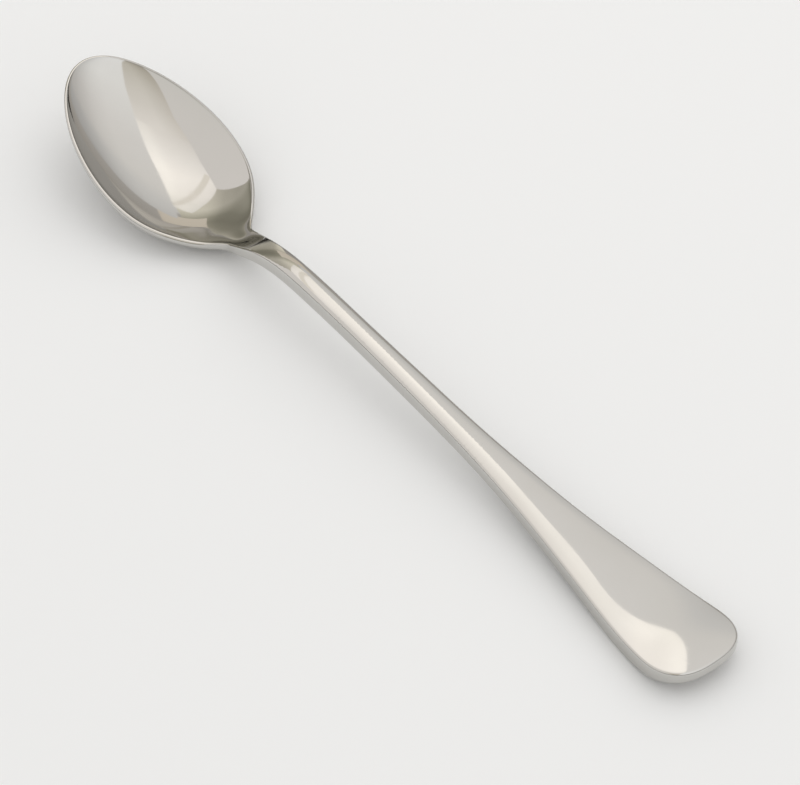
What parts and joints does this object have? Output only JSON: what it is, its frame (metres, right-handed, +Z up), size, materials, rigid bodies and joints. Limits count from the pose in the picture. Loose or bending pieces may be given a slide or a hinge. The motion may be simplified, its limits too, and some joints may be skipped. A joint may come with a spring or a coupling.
{
  "type": "iced tea spoon",
  "caption": "Long-handled iced tea spoon in polished stainless steel, with an egg-shaped bowl, a slender arched stem and a flared, bluntly rounded handle end.",
  "frame": {"origin": "centre of the bounding box at the surface that the spoon rests on", "axes": "+X along the spoon from the bowl's tip to the handle's end, +Y across it, +Z up, with the hollow of the bowl open upwards"},
  "size_m": [0.185, 0.0296, 0.0161],
  "materials": {
    "polished_steel": "mirror-polished stainless steel with fine hairline wear"
  },
  "bodies": {
    "root": {"bowl": "polished_steel", "neck": "polished_steel", "stem": "polished_steel", "handle_end": "polished_steel"}
  },
  "joints": []
}
